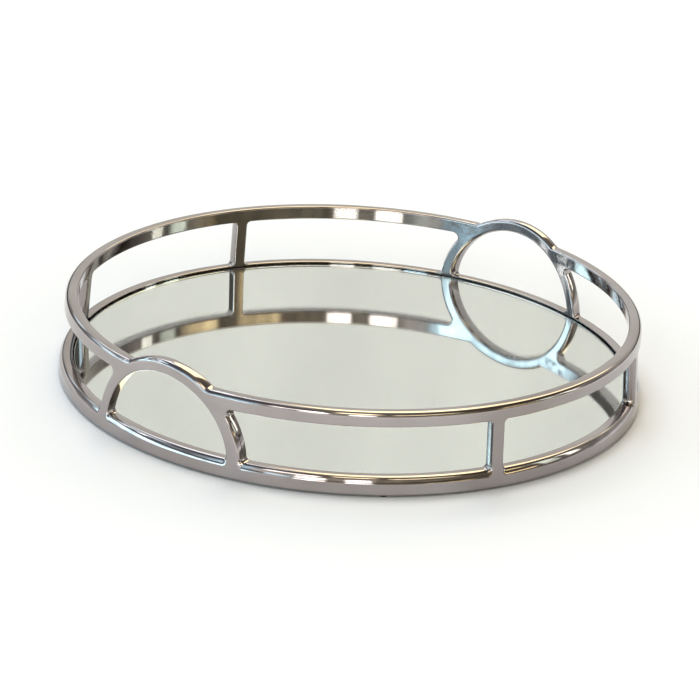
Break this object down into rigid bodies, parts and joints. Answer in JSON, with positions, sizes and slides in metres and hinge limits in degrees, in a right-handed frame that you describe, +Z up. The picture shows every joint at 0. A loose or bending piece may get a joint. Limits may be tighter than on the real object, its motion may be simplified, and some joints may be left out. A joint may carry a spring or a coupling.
{
  "type": "round vanity tray",
  "caption": "Round mirrored vanity tray with a polished metal gallery rail on posts and a half-round arch handle at each side.",
  "frame": {"origin": "centre of the footprint, on the surface the tray stands on", "axes": "+Z up; the two arch handles lie on +X and -X; the front and rear rails lie on -Y and +Y"},
  "size_m": [0.3558, 0.3558, 0.06],
  "materials": {
    "polished_metal": "mirror polished nickel-plated or stainless steel",
    "weld_metal": "ground and polished weld",
    "lug_steel": "plain sheet steel",
    "screw_steel": "zinc plated",
    "fibreboard": "raw fibreboard",
    "foam_tape": "foam tape",
    "silvering": "silvered back of the glass",
    "clear_glass": "clear float glass",
    "black_felt": "felt",
    "black_rubber": "matt rubber"
  },
  "bodies": {
    "root": {"base_ring": "polished_metal", "front_top_rail": "polished_metal", "rear_top_rail": "polished_metal", "left_handle": "polished_metal", "right_handle": "polished_metal", "post_rear_right": "polished_metal", "post_rear_left": "polished_metal", "post_front_left": "polished_metal", "post_front_right": "polished_metal", "post_foot_welds": "weld_metal", "post_head_welds": "weld_metal", "handle_foot_welds": "weld_metal", "rail_end_welds": "weld_metal", "support_lugs": "lug_steel", "lug_welds": "lug_steel", "lug_screws": "screw_steel", "backing_board": "fibreboard", "mirror_tape": "foam_tape", "mirror_silvering": "silvering", "mirror_glass": "clear_glass", "underside_felt": "black_felt", "bumper_feet": "black_rubber"}
  },
  "joints": []
}
